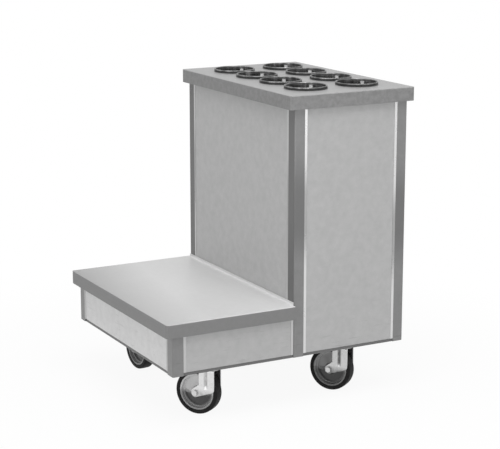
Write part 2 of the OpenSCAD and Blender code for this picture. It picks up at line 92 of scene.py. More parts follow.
# %% Sums on sockets
class Wire:
    """One output socket, on which sums with numbers and other wires add Math nodes."""

    def __init__(self, wiring, socket):
        self.wiring = wiring
        self.socket = socket

    def __add__(self, other):
        return self.wiring.maths("ADD", self, other)

    def __sub__(self, other):
        return self.wiring.maths("SUBTRACT", self, other)

    def __rsub__(self, other):
        return self.wiring.maths("SUBTRACT", other, self)

    def __mul__(self, other):
        return self.wiring.maths("MULTIPLY", self, other)

    __radd__ = __add__
    __rmul__ = __mul__


class Wiring:
    """The nodes of one material or of the sky."""

    def __init__(self, tree):
        self.tree = tree

    def add(self, kind, settings=None, inputs=None, output=0):
        """Adds a node: settings first, then numbers or wires for its sockets."""
        node = self.tree.nodes.new(kind)
        for key, value in (settings or {}).items():
            if key == "stops":
                set_stops(node.color_ramp.elements, value)
            else:
                setattr(node, key, value)
        for key, value in (inputs or {}).items():
            self.feed(node.inputs[key], value)
        return Wire(self, node.outputs[output])

    def feed(self, socket, value):
        """Links a wire to a socket, or sets the socket to a number, vector or colour."""
        if isinstance(value, Wire):
            self.tree.links.new(value.socket, socket)
        else:
            socket.default_value = value

    def maths(self, operation, *values):
        return self.add("ShaderNodeMath", {"operation": operation}, dict(enumerate(values)))


def set_stops(elements, stops):
    """Gives a ramp its stops, each a place from 0 to 1 and a grey level."""
    for _ in stops[2:]:
        elements.new(0.5)
    for element, (at, level) in zip(elements, stops):
        element.position = at
        element.color = grey(level)


def grey(level):
    """A grey as a colour, written as a linear level."""
    return (level, level, level, 1)


print("black and white are", grey(0), "and", grey(1))

# %% [markdown]
# A finish is a material with one Principled shader. Its patterns could follow a UV map, but
# Object coordinates need no unwrapping, and they stay on the metal when a caster turns or a
# cylinder is lifted. Plain helpers give the few patterns that the cart needs: cloudy noise,
# streaks drawn out along one axis, ramps, and masks that begin or end at a place.

# %% A finish made of nodes
class Finish(Wiring):
    """A material with one Principled shader, which set() feeds."""

    def __init__(self, name):
        self.material = bpy.data.materials.new(name)
        self.material.use_nodes = True
        super().__init__(self.material.node_tree)
        self.tree.nodes.clear()
        self.shader = self.tree.nodes.new("ShaderNodeBsdfPrincipled")
        self.shaded = Wire(self, self.shader.outputs[0])
        self.surface = self.tree.nodes.new("ShaderNodeOutputMaterial").inputs["Surface"]
        self.feed(self.surface, self.shaded)
        self.place = self.add("ShaderNodeTexCoord", output="Object")

    def set(self, **values):
        """Feeds the Principled shader. An underscore in a name stands for a space."""
        for key, value in values.items():
            self.feed(self.shader.inputs[key.replace("_", " ")], value)

    def stretched(self, *scale):
        """Object coordinates times one number an axis: a small number draws a pattern out."""
        return self.add("ShaderNodeMapping", None, {"Vector": self.place, "Scale": scale})

    def centred(self, centre, turn=0.0):
        """Object coordinates from a new centre, turned about the upright axis."""
        moved = self.add("ShaderNodeMapping", None,
                         {"Vector": self.place, "Location": tuple(-value for value in centre)})
        return self.add("ShaderNodeMapping", None,
                        {"Vector": moved, "Rotation": (0.0, 0.0, turn)})

    def axis(self, number, vector=None):
        """One of the three numbers of a vector, or else of the object coordinates."""
        source = self.place if vector is None else vector
        return self.add("ShaderNodeSeparateXYZ", None, {"Vector": source}, number)

    def length(self, vector):
        return self.add("ShaderNodeVectorMath", {"operation": "LENGTH"}, {0: vector}, "Value")

    def noise(self, where, scale=1.0, detail=3.0, roughness=0.5):
        return self.add("ShaderNodeTexNoise", None,
                        {"Vector": where, "Scale": scale, "Detail": detail,
                         "Roughness": roughness})

    def ramp(self, value, *stops):
        return self.add("ShaderNodeValToRGB", {"stops": stops}, {"Fac": value})

    def fade(self, value, start, end, low=0.0, high=1.0, curve="LINEAR"):
        """Low up to start, high from end on, and a straight or smooth slope between."""
        return self.add("ShaderNodeMapRange", {"clamp": True, "interpolation_type": curve},
                        {"Value": value, "From Min": start, "From Max": end,
                         "To Min": low, "To Max": high})

    def beyond(self, axis, start, end):
        """0 up to start, 1 from end on, and even between, along one axis."""
        return self.fade(self.axis(axis), start, end)

    def band(self, height, half, fall):
        """1 at a height and 0 from half above or below it on; the band falls as x grows."""
        away = self.maths("ABSOLUTE", self.axis(2) + self.axis(0) * fall - height)
        return self.fade(away, half * 0.25, half, 1.0, 0.0, "SMOOTHSTEP")

    def mix(self, share, first, second):
        """One colour turning into another as share goes from 0 to 1."""
        return self.add("ShaderNodeMix", {"data_type": "RGBA"},
                        {0: share, 6: first, 7: second}, 2)

    def cloudy(self, clouds, level, spread):
        """A grey, darker and lighter by a share called spread as clouds goes from 0 to 1."""
        return self.mix(clouds, grey(level * (1 - spread)), grey(level * (1 + spread)))

    def bump(self, height, strength, depth):
        """Dents along the normal, depth metres deep where height runs from 0 to 1."""
        return self.add("ShaderNodeBump", None,
                        {"Height": height, "Strength": strength, "Distance": depth})


print("helpers", [name for name in vars(Finish) if not name.startswith("_")])

# %% [markdown]
# Brushed sheet steel is a mirror that abrasive belts have combed in one direction. A picture of
# such steel would show its repeats on so large a sheet, so it is made of noise that is long
# along the belt and very fine across it. The noise varies the tone and the roughness and dents
# the surface a little. Broad clouds and a few rubbed patches keep a sheet from looking printed.

# %% Steel that was combed by a belt
def brushed_steel(name, level, along, rough, streaks=0.10, metal=1.0, mottle=0.0,
                  other=None, painted_reflection=None, painted_sheen=None):
    """Steel whose streaks run along one axis: noise 6 cycles a metre that way and 900 across.
    Mottle adds patches 15 mm wide. Other is (axis, start, end, times): beyond start the steel
    is that many times as light, as painted light or painted shade. Painted_reflection is
    (height, half height, fall, times) of a darker band, a painted reflection. Painted_sheen is
    (start, end, slant, stops): a painted sheen, a ramp that dims the other part from start to end
    along x less slant times y."""
    finish = Finish(name)
    scale = [900.0, 900.0, 900.0]
    scale[along] = 6.0
    comb = finish.noise(finish.stretched(*scale), 1.0, 4.0, 0.6)
    clouds = finish.noise(finish.place, 5.0, 4.0, 0.55)
    rubbed = finish.fade(finish.noise(finish.place, 11.0, 5.0, 0.6), 0.52, 0.70)
    if mottle:
        clouds = clouds + (finish.noise(finish.place, 70.0, 3.0, 0.6) - 0.5) * mottle
    spread = 0.06 + mottle * 0.02
    in_streaks = comb * 0.35
    tone = finish.mix(in_streaks, finish.cloudy(clouds, level, spread), grey(level * 0.80))
    # Painted light or shade: beyond start, one part of the sheet is painted lighter or darker.
    if other:
        axis, start, end, times = other
        light = level * times
        painted_light_tone = finish.cloudy(clouds, light, spread / 2)
        painted_light_tone = finish.mix(in_streaks, painted_light_tone, grey(light * 0.90))
        # Painted sheen: a ramp dims that part, in place of a reflection.
        if painted_sheen:
            low, high, slant, stops = painted_sheen
            share = (finish.axis(0) - finish.axis(1) * slant - low) * (1 / (high - low))
            painted_light_tone = finish.mix(finish.ramp(share, *stops), grey(0.0), painted_light_tone)
        tone = finish.mix(finish.beyond(axis, start, end), tone, painted_light_tone)
    # Painted reflection: a darker band half way up.
    if painted_reflection:
        height, half, fall, times = painted_reflection
        tone = finish.mix(finish.band(height, half, fall), tone, grey(level * times))
    finish.set(Base_Color=tone, Metallic=metal,
               Roughness=rough + (comb - 0.5) * streaks + (clouds - 0.5) * 0.10 - rubbed * 0.05,
               Normal=finish.bump(comb, 0.35, 0.00001))
    return finish.material


# %% [markdown]
# The two tops, the upright trims and the caster channels are of this steel. One finish could
# serve them all, but on the cart each mirrors something else. The tops' streaks run across the
# cart, and their level faces are painted lighter than their skirts, as painted light. On the
# shelf, a painted sheen dims the level face away from the cabinet, in place of a reflection.
# The trims' streaks run upright, with a painted dark reflection band half way up, and the trims
# off the long side are painted darker, as painted shade. Where a look changes with the shape,
# the place is read from the solids, so it holds when a size changes. Finishes are kept under
# their slot in the record, or under the name of a node that has one of its own.

# %% Tops, trims and channels
finishes = {}
own_finishes = {}
sheet = 0.0015
top_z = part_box("cabinet_top")[1].z
shelf_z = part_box("shelf_stiffeners")[1].z + sheet
side_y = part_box("panel_front")[0].y
reflection_height = 0.565
reflection_half = 0.17
# A painted sheen on the shelf's level face, darker away from the cabinet.
sheen_from = -0.43
sheen_to = -0.02
sheen_slant = 0.15
sheen_stops = ((0.0, 0.50), (0.51, 0.89), (1.0, 1.0))


def level_face(height):
    """Where a sheet's skirt has turned over into its level face: a mask's start and end."""
    return height - 0.002, height - 0.0005


finishes["sheet_steel"] = brushed_steel(
    "sheet_steel_satin", 0.21, along=1, rough=0.46, metal=0.3, mottle=4.0,
    other=(2, *level_face(top_z), 1.5))
finishes["channel_steel"] = brushed_steel(
    "channel_steel_rolled", 0.38, along=1, rough=0.5, streaks=0.2)
finishes["trim_metal"] = brushed_steel(
    "trim_bright", 0.66, along=2, rough=0.3, metal=0.7,
    other=(1, side_y + 0.001, side_y + 0.004, 0.75), painted_reflection=(reflection_height, reflection_half, 0.33, 0.54))
own_finishes["shelf_top"] = brushed_steel(
    "shelf_steel_painted_sheen", 0.20, along=1, rough=0.50, metal=0.2, mottle=1.5,
    other=(2, *level_face(shelf_z), 3.4),
    painted_sheen=(sheen_from, sheen_to, sheen_slant, sheen_stops))
own_finishes["shelf_panel_trims"] = brushed_steel(
    "trim_shelf", 0.50, along=2, rough=0.34, metal=0.5)
print("top at", round(top_z, 4), "and shelf at", round(shelf_z, 4))

# %% [markdown]
# The cylinders are rolled from sheet, and their thin walls are never quite round. Seen from
# inside, such a wall breaks reflections into upright bands. A clean mirror would need a whole
# room round the cart to show them, so painted reflections make them instead: bands of noise in
# the tone, with soft waves in the surface. The steel between them is painted dark, as the shade
# inside a cup, and one side of each wall is painted paler. Each cup also has a painted
# highlight, a matt, nearly white upright stripe that shines out of the dark inside as a pale
# line. Each stripe is turned a little, so that no two are quite alike.

# %% Rolled cups
highlight_half = 0.0065
highlight_direction = 45.0
highlight_swing = 6.0
swing_step = 2.4
cup_level = 0.42


def rolled_steel(name, level, box, highlight_turn):
    """Steel with painted upright reflection bands 1 to 2 cm wide, fine draw lines, a painted
    highlight as a pale stripe, and a duller rim. The painted highlight lies where the centred and
    turned x is near 0 and y is above 0. The steel between the bands is painted dark, as shade,
    and paler, as a painted reflection, where that x is above 1 cm; the floor gets no bands and
    is left dark."""
    finish = Finish(name)
    local = finish.centred((box[0] + box[1]) / 2, highlight_turn)
    side = finish.axis(0, local)
    rim = finish.beyond(2, box[1].z - 0.009, box[1].z - 0.006)
    wall = finish.beyond(2, box[0].z + 0.002, box[0].z + 0.005)
    near = finish.fade(finish.maths("ABSOLUTE", side), highlight_half * 0.6, highlight_half, 1.0, 0.0)
    # Painted highlight: a matt pale stripe on one side of each wall.
    painted_highlight = near * finish.maths("GREATER_THAN", finish.axis(1, local), 0.0) * wall
    waves = finish.noise(finish.stretched(75.0, 75.0, 2.0), 1.0, 2.0, 0.5)
    lines = finish.noise(finish.stretched(700.0, 700.0, 5.0), 1.0, 3.0, 0.6)
    bands = finish.ramp(waves, (0.40, 0.0), (0.60, 0.30), (0.68, 1.0)) * wall
    # Painted reflection: one side of each wall is paler.
    painted_side_sheen = finish.fade(side, 0.008, 0.020, 0.0, 0.6) * wall
    # Painted shade and reflections: dark steel between bright painted bands.
    tone = finish.mix(bands + painted_side_sheen, grey(level * 0.12), grey(level * 1.7))
    tone = finish.mix(lines * 0.4, tone, grey(level * 0.7))
    tone = finish.mix(painted_highlight * 0.9, tone, grey(0.90))
    rim_tone = finish.mix(bands * 1.4, grey(level * 0.28), grey(level * 0.66))
    finish.set(Base_Color=finish.mix(rim, tone, rim_tone), Metallic=0.9 - painted_highlight * 0.85,
               Roughness=0.24 + (lines - 0.5) * 0.12 + rim * 0.14,
               Normal=finish.bump(waves * wall, 0.5, 0.0012))
    return finish.material


cups = sorted(name for name in nodes if slot_of[name] == "cylinder_steel")
for count, name in enumerate(cups):
    highlight_turn = np.radians(highlight_direction + highlight_swing * np.sin(swing_step * count))
    own_finishes[name] = rolled_steel(name + "_steel", cup_level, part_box(name), highlight_turn)
print("cups", len(cups))

# %% [markdown]
# The wall panels carry a light grey paint that was sprayed on. A single flat colour would do
# from far off, but under a lamp such paint shows the tiny waves that painters call orange peel,
# a fine speckle, faint blotches, and near the floor the dull scuffs of shoes and other carts.
# All of these are noise, coarse or fine, so the paint needs no picture either.

# %% Sprayed paint
def sprayed_paint(name, level, scuff_end, rough=0.42, metal=0.0, painted_reflection=None, shaded_face=None):
    """Paint with orange peel 1.5 mm wide, fine speckle, faint blotches 1 to 3 cm wide, and
    scuffs that fade out at scuff_end. Painted_reflection is (height, half height, fall, times)
    of a darker band, a painted reflection. Shaded_face is (x, times): the piece is that many
    times as light below x, as painted shade on that face."""
    finish = Finish(name)
    peel = finish.noise(finish.place, 650.0, 2.0, 0.5)
    speckle = finish.noise(finish.place, 1400.0, 2.0, 0.7)
    blotches = finish.noise(finish.place, 45.0, 4.0, 0.7)
    clouds = finish.noise(finish.place, 4.0, 3.0, 0.5)
    scratches = finish.noise(finish.stretched(14.0, 14.0, 130.0), 1.0, 5.0, 0.65)
    low = 1 - finish.beyond(2, scuff_end - 0.14, scuff_end)
    scuffs = finish.fade(scratches, 0.60, 0.68) * low
    tone = finish.cloudy(speckle * 0.3 + blotches * 1.6 - 0.45, level, 0.13)
    tone = finish.mix(clouds * 0.5, tone, grey(level * 1.05))
    # Painted reflection: a darker band half way up.
    if painted_reflection:
        height, half, fall, times = painted_reflection
        tone = finish.mix(finish.band(height, half, fall), tone, grey(level * times))
    # Painted shade: the face below x is darker.
    if shaded_face:
        edge, times = shaded_face
        tone = finish.mix(finish.beyond(0, edge, edge + 0.0005), grey(level * times), tone)
    tone = finish.mix(scuffs * 0.35, tone, grey(level * 0.62))
    finish.set(Base_Color=tone, Metallic=metal, IOR=1.45,
               Roughness=rough + (peel - 0.5) * 0.08 + scuffs * 0.22,
               Normal=finish.bump(peel, 0.25, 0.00012))
    return finish.material


# %% [markdown]
# The posts have the same kind of paint in a darker grey, and the base rails are darker still.
# Like the trims, the posts get a painted dark reflection half way up. The two inner posts are
# painted darkest on the face that looks at the shelf, as painted shade. That face could be a
# material of its own on some of the post's faces, but a mask that begins at the post's edge
# leaves the solid's mesh alone.

# %% Panels, rails and posts
body_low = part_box("panel_front")[0].z
inner_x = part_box("post_inner_front")[0].x
scuff_rise = 0.16
face_depth = 0.0008


def post_paint(name, shaded_face=None):
    """The posts' paint, with its painted dark reflection band half way up."""
    return sprayed_paint(name, 0.21, body_low + scuff_rise, rough=0.38, metal=0.2,
                         painted_reflection=(reflection_height, reflection_half, 0.15, 0.72), shaded_face=shaded_face)


finishes["panel_paint"] = sprayed_paint("panel_grey", 0.42, body_low + scuff_rise)
finishes["rail_paint"] = sprayed_paint("rail_grey", 0.14, body_low, rough=0.5)
finishes["post_paint"] = post_paint("post_grey")
# The shelf's end panel gets a lighter copy of the panel grey, as painted light.
own_finishes["shelf_panel_end"] = sprayed_paint("shelf_end_grey", 0.64, body_low + scuff_rise)
# Painted shade on the inner posts' face towards the shelf.
for name in ("post_inner_front", "post_inner_back"):
    own_finishes[name] = post_paint(name + "_grey", shaded_face=(inner_x + face_depth, 0.60))
print("scuffs end at", round(body_low + scuff_rise, 3))

# %% [markdown]
# Zinc plate on the casters is bright, slightly cloudy and never quite even. One plain metal for
# all of it would look new, so clouds make its tone and gloss wander. A painted shade darkens the
# forks' channels, and the forks grow darker down their feet; the front-right fork gets a darker
# copy of the plate, as painted shade. Where the darkening sits comes from the fork's own shape,
# as a number at each point, because no coordinate alone says where a bent strip has its channel.

# %% Zinc plate
def zinc_plate(name, level, rough=0.30, darkening_bias=0.10):
    """Bright plate whose tone and gloss wander with clouds 1 cm across, with fine pits.
    Where a piece's own attribute says so, the plate is darkened, most in the clouds: painted
    shade in the forks' channels, and darker towards their feet."""
    finish = Finish(name)
    clouds = finish.noise(finish.place, 90.0, 4.0, 0.6)
    pits = finish.noise(finish.place, 1500.0, 2.0, 0.6)
    grime = finish.add("ShaderNodeAttribute", {"attribute_name": "grime"}, output="Fac")
    tone = finish.mix(clouds, grey(level * 0.86), grey(level * 1.08))
    # Painted shade where the attribute is high: the forks' channels, and towards their feet.
    tone = finish.mix(grime * (clouds * 1.8 + (darkening_bias - 0.5)), tone, grey(level * 0.22))
    finish.set(Base_Color=tone, Metallic=1.0, Roughness=rough + (clouds - 0.5) * 0.22,
               Normal=finish.bump(pits, 0.2, 0.00003))
    return finish.material


finishes["caster_steel"] = zinc_plate("caster_zinc", 0.72)
finishes["fastener_steel"] = zinc_plate("fastener_zinc", 0.62, rough=0.34)
# The front-right fork gets a darker copy of the plate, as painted shade.
own_finishes["fork_front_right"] = zinc_plate("fork_zinc_shaded", 0.58, darkening_bias=0.62)
print("slots with a finish so far", len(finishes))

# %% [markdown]
# Tyres, wheel centres and collars are moulded. Rings about their axis come for free from their
# shape, so the finish only needs fine grit, patches of pale dust and, on the lower half of each
# wheel, a painted shade. Each wheel gets its own level, painted lighter or darker as the lamps
# fall on it, and its own centre, because the painted shade is measured from the axle.

# %% Moulded rubber and plastic
# Each wheel's grey is painted lighter or darker as the lamps fall on it.
wheel_painted_levels = {"front_left": 0.62, "front_right": 0.36, "back_left": 0.50, "back_right": 0.44}


def moulded(name, level, rough, dust, grit=900.0, depth=0.00006, shine=0.5, axle=None):
    """A moulded surface with fine grit and patches of pale dust. Round an axle, a painted shade
    darkens the lower half, with a ragged edge: strong as far as 38 mm out, on the web, and
    about half as strong from 46 mm out, on the rim."""
    finish = Finish(name)
    grain = finish.noise(finish.place, grit, 3.0, 0.6)
    clouds = finish.noise(finish.place, 55.0, 4.0, 0.6)
    settled = finish.fade(clouds, 0.45, 0.75) * dust
    tone = finish.mix(settled, finish.cloudy(grain, level, 0.15), grey(0.32))
    if axle is not None:
        # Painted shade on the lower half of the wheel.
        shade_edge_noise = finish.noise(finish.stretched(60.0, 60.0, 150.0), 1.0, 4.0, 0.6)
        low = 1 - finish.beyond(2, axle[2] - 0.022, axle[2] + 0.010)
        web = 1 - finish.fade(finish.length(finish.centred(axle)), 0.038, 0.046)
        painted_low_shade = finish.fade(low + shade_edge_noise - 0.5, 0.20, 0.60)
        tone = finish.mix(painted_low_shade * (0.50 + web * 0.46), tone, grey(0.022))
    finish.set(Base_Color=tone, Metallic=0.0, Specular_IOR_Level=shine,
               Roughness=rough + (grain - 0.5) * 0.12 + settled * 0.15,
               Normal=finish.bump(grain, 0.35, depth))
    return finish.material


finishes["collar_plastic"] = moulded("collar_black", 0.016, 0.42, 0.0)
finishes["tyre_rubber"] = moulded("tyre_black", 0.009, 0.60, 0.03, grit=700.0, depth=0.0001,
                                  shine=0.15)
for corner, level in wheel_painted_levels.items():
    axle = joints["spin_" + corner]["pos_m"]
    own_finishes["wheel_" + corner] = moulded("wheel_grey_" + corner, level, 0.24, 0.06, axle=axle)
print("finishes", len(finishes) + len(own_finishes))

# %% [markdown]
# Every node now gets its finish: its own, if it has one, or else that of its slot. Each could be
# given by hand, but the new pieces further down ask in the same way, so that a piece looks like
# the node that it stands for.

# %% Put the finishes on
def finish_of(node_name):
    return own_finishes.get(node_name) or finishes[slot_of[node_name]]


for name, node in nodes.items():
    node.data.materials.clear()
    node.data.materials.append(finish_of(name))
print("dressed", len(nodes))

# %% [markdown]
# No edge of bent or sawn sheet is perfectly sharp. The edges could be rounded in a copy of each
# mesh, but modifiers leave the solids' meshes as they are: a Weld joins their loose triangles,
# and a Bevel rounds every edge by less than half a millimetre, which is enough to catch a thin
# line of light.

# %% Soften the sheet parts' edges
merge_distance = 1e-6
edge_width = 0.0004
edge_angle = np.radians(40)
rounded_slots = ("post_paint", "rail_paint", "panel_paint", "trim_metal", "channel_steel")

softened = [node for name, node in nodes.items() if slot_of[name] in rounded_slots]
for node in softened:
    node.modifiers.new("weld", "WELD").merge_threshold = merge_distance
    edge = node.modifiers.new("edge", "BEVEL")
    edge.width = edge_width
    edge.segments = 2
    edge.limit_method = "ANGLE"
    edge.angle_limit = edge_angle
print("softened", len(softened))

# %% [markdown]
# A new piece could be built from primitives and modifiers, but a grid of points that a formula
# gives is exact and quick. Four neighbours make a face, and a grid that is closed one way or
# both wraps round to its first row or column. The merge at the end closes poles and seams.

# %% A mesh from grids of points
sharp_angle = np.radians(50)


def grid_faces(rows, columns, closed_rows, closed_columns):
    """Corner numbers of every quad of a grid, as one array; a closed side wraps round."""
    row = np.arange(rows if closed_rows else rows - 1)[:, None]
    column = np.arange(columns if closed_columns else columns - 1)[None, :]
    next_row = (row + 1) % rows
    next_column = (column + 1) % columns
    quads = [row * columns + column, row * columns + next_column,
             next_row * columns + next_column, next_row * columns + column]
    return np.stack(quads, -1).reshape(-1, 4)


def grid_mesh(name, grids, grime):
    """A mesh from (points, closed rows, closed columns) grids, with smooth faces that point
    out. Darkening, where it is given, is one number a point of the first grid."""
    points, faces, count = [], [], 0
    for grid, closed_rows, closed_columns in grids:
        rows, columns = grid.shape[:2]
        points.append(grid.reshape(-1, 3))
        faces.append(grid_faces(rows, columns, closed_rows, closed_columns) + count)
        count += rows * columns
    mesh = bpy.data.meshes.new(name)
    mesh.from_pydata(np.concatenate(points), [], np.concatenate(faces).tolist())
    if grime is not None:
        values = np.zeros(count, np.float32)
        values[:grime.size] = grime.ravel()
        mesh.attributes.new("grime", "FLOAT", "POINT").data.foreach_set("value", values)
    shape = bmesh.new()
    shape.from_mesh(mesh)
    bmesh.ops.remove_doubles(shape, verts=shape.verts, dist=merge_distance)
    bmesh.ops.dissolve_degenerate(shape, edges=shape.edges, dist=merge_distance / 10)
    bmesh.ops.recalc_face_normals(shape, faces=shape.faces)
    shape.to_mesh(mesh)
    shape.free()
    mesh.shade_smooth()
    mesh.set_sharp_from_angle(angle=sharp_angle)
    return mesh


def new_piece(name, grids, body, stands_for, grime=None):
    """One object made of grids. It rides on body, and takes the place and finish of a node."""
    made = bpy.data.objects.new(name, grid_mesh(name, grids, grime))
    bpy.context.scene.collection.objects.link(made)
    made.modifiers.new("weighted_normals", "WEIGHTED_NORMAL").keep_sharp = True
    made.data.materials.append(finish_of(stands_for))
    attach(made, body)
    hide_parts(stands_for)


print("faces of an open grid of 3 by 3 points", len(grid_faces(3, 3, False, False)))

# %% [markdown]
# Turned pieces start as a section. Every corner of a real section is a small arc, and the arc is
# what catches the light. A Bevel would round all corners alike, so a formula rounds them, each
# by its own radius, before the section is turned about the axle.

# %% Rounded sections and turning
slanting = (0.3, 0.5, 0.8)


def rounded(corners, radii, steps=6):
    """A closed outline in which an arc takes the place of each corner.
    The arc's centre lies on the corner's bisector, radius / sin(half the angle) away. Its points
    swing evenly from the touching point on one side to the touching point on the other."""
    corner = np.asarray(corners, float)
    radius = np.broadcast_to(np.asarray(radii, float), len(corner))[:, None]
    back = np.roll(corner, 1, 0) - corner
    ahead = np.roll(corner, -1, 0) - corner
    back /= np.linalg.norm(back, axis=1)[:, None]
    ahead /= np.linalg.norm(ahead, axis=1)[:, None]
    half = np.arccos(np.clip((back * ahead).sum(1), -1, 1))[:, None] / 2
    middle = back + ahead
    middle /= np.linalg.norm(middle, axis=1)[:, None]
    centre = corner + middle * radius / np.sin(half)
    start = corner + back * radius / np.tan(half) - centre
    end = corner + ahead * radius / np.tan(half) - centre
    swing = (np.pi - 2 * half)[:, None]
    share = np.linspace(0, 1, steps)[None, :, None]
    arc = np.sin((1 - share) * swing) * start[:, None] + np.sin(share * swing) * end[:, None]
    return (centre[:, None] + arc / np.sin(swing)).reshape(-1, 2)


def turned(section, centre, axis, steps=96):
    """A section of (radius, height) points turned about an axis through centre.
    Point = centre + radius * (side cos a + third sin a) + axis * height, where side is square
    to the axis and to a slanting line, and third is square to both."""
    up = np.asarray(axis, float) / np.linalg.norm(axis)
    side = np.cross(up, slanting)
    side /= np.linalg.norm(side)
    angle = np.linspace(0, 2 * np.pi, steps, endpoint=False)[:, None]
    ring = np.cos(angle) * side + np.sin(angle) * np.cross(up, side)
    grid = section[None, :, :1] * ring[:, None, :] + section[None, :, 1:] * up
    return np.asarray(centre) + grid, True, True


print("points of a rounded square", len(rounded([(1, 0), (2, 0), (2, 1), (1, 1)], 0.1)))

# %% [markdown]
# A caster tyre is cast round its wheel: a slightly domed tread, round shoulders and flat
# sidewalls, with a thin flash line where the two halves of the mould met. A torus would be too
# round and a bevelled cylinder too flat, so the section is worked out in the wheel's own radius
# and width and then turned about the axle.

# %% Tyres
wheel_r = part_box("tyre_front_left")[1].z / 2
tyre_wall = 0.012
tyre_half = 0.016
tread_half = 0.011
shoulder_r = 0.004
inner_edge_r = 0.0007
dome = 0.0005
flash_high = 0.00025
flash_half = 0.0004


def tyre_section(steps=14, tread_points=25):
    """A rounded rectangle with more points along its tread. Its radius falls off by the dome
    times (across / half width) squared, and rises in a thin bell curve at the flash line."""
    inner = wheel_r - tyre_wall
    box = [(inner, -tyre_half), (wheel_r, -tyre_half), (wheel_r, tyre_half), (inner, tyre_half)]
    section = rounded(box, [inner_edge_r, shoulder_r, shoulder_r, inner_edge_r], steps)
    tread = np.stack([np.full(tread_points, wheel_r),
                      np.linspace(-tread_half, tread_half, tread_points)], -1)
    section = np.concatenate([section[:2 * steps], tread, section[2 * steps:]])
    across = section[:, 1] / tyre_half
    outer = np.clip((section[:, 0] - inner) / tyre_wall, 0, 1)
    flash = flash_high * np.exp(-(section[:, 1] / flash_half) ** 2)
    section[:, 0] -= outer * (dome * across ** 2 + flash_high - flash)
    return section


for corner in corners:
    spin = joints["spin_" + corner]
    new_piece("tyre_cast_" + corner, [turned(tyre_section(), spin["pos_m"], spin["axis"], 128)],
              "roller_" + corner, "tyre_" + corner)
print("tyre radius", round(wheel_r, 4))

# %% [markdown]
# The wheel centre is moulded in one piece: a hub, a web that is thick at the hub and thin at
# the rim, and a rim that the tyre sits on. The web slopes, so its upper half faces the lamps
# and its lower half the floor, which is what makes such a wheel look dished; the finish adds a
# painted shade on the lower half. A flat disc with only a painted shadow would look wrong as
# soon as the wheel turned.

# %% Wheel centres
hub_half = 0.019
hub_r = 0.015
bore_r = 0.0048
taper = 0.001
web_root_half = 0.0105
web_bend = (0.0305, 0.0072)
web_end = (0.0450, 0.0040)
rim_in = 0.0466
rim_half = 0.0145
rim_out = wheel_r - tyre_wall - 0.0003


def wheel_section():
    """The section from the bore over the hub, down the web, over the rim, and back."""
    near = [(bore_r, hub_half), (hub_r - taper, hub_half), (hub_r + taper, web_root_half),
            web_bend, web_end, (rim_in, rim_half), (rim_out, rim_half)]
    radii = [0.0005, 0.0014, 0.0030, 0.0060, 0.0030, 0.0010, 0.0006]
    far = [(r, -height) for r, height in reversed(near)]
    return rounded(near + far, radii + radii[::-1], steps=7)


for corner in corners:
    spin = joints["spin_" + corner]
    new_piece("wheel_moulded_" + corner, [turned(wheel_section(), spin["pos_m"], spin["axis"])],
              "roller_" + corner, "wheel_" + corner)
print("rim radius", round(rim_out, 4))

# %% [markdown]
# The fork is one strip of steel, cut to an outline and bent over twice, with a round seat for
# the ball race pressed on top. Each leg is a broad cheek whose lower corner runs out to the
# axle's boss behind it. The outline comes first: how wide the leg is at each height. It could be
# drawn by eye, but tangents to the boss and the toe give the smooth edges of a real die.

# %% The outline of a fork's leg
crown_z = 0.1352
leg_half = 0.023
boss_r = 0.0125
knee_z = wheel_r + 0.024
toe_r = 0.008
toe_z = wheel_r + 0.005 + toe_r


def touch_point(corner, centre, radius, side):
    """Where the line from corner touches the circle: the direction to the centre, turned by
    asin(radius / distance) to one side, for sqrt(distance^2 - radius^2)."""
    away = centre - corner
    distance = np.hypot(*away)
    angle = np.arctan2(away[1], away[0]) + side * np.arcsin(radius / distance)
    reach = np.sqrt(distance ** 2 - radius ** 2)
    return corner + reach * np.array([np.cos(angle), np.sin(angle)])


def arc_points(centre, radius, start, end, steps=12):
    """Points of an arc between two angles in degrees."""
    angle = np.radians(np.linspace(start, end, steps))
    return centre + radius * np.stack([np.cos(angle), np.sin(angle)], -1)


def leg_edges(z, trail):
    """Across, at the heights z: the front edge runs up from the boss along the tangent that it
    shares with the toe's circle, round the toe and straight up; the rear edge from the boss
    along a tangent to the knee and straight up."""
    axle = np.array([trail, wheel_r])
    toe = np.array([toe_r - leg_half, toe_z])
    knee = np.array([leg_half, knee_z])
    down = touch_point(toe, axle, boss_r - toe_r, -1) - axle
    low = np.degrees(np.arctan2(down[1], down[0])) % 360
    rear = touch_point(knee, axle, boss_r, 1) - axle
    high = np.degrees(np.arctan2(rear[1], rear[0]))
    front_edge = np.concatenate([arc_points(axle, boss_r, 270, low),
                                 arc_points(toe, toe_r, low, 180), [[-leg_half, crown_z]]])
    rear_edge = np.concatenate([arc_points(axle, boss_r, -90, high),
                                [knee, [leg_half, crown_z]]])
    return [np.interp(z, edge[:, 1], edge[:, 0]) for edge in (front_edge, rear_edge)]


print("leg from", round(wheel_r - boss_r, 4), "up to", crown_z)

# %% [markdown]
# The strip is then bent. A flat cut-out with a Solidify modifier and two bends would do, but a
# profile carried along a path gives the surface at once. The path runs from one foot up the leg,
# over the crown and down again, and it turns the corners in quarter circles, as a press does.

# %% The path of the strip
leg_out = 0.0228
bend_r = 0.0072
past_knee = 0.001
above_knee = 0.004


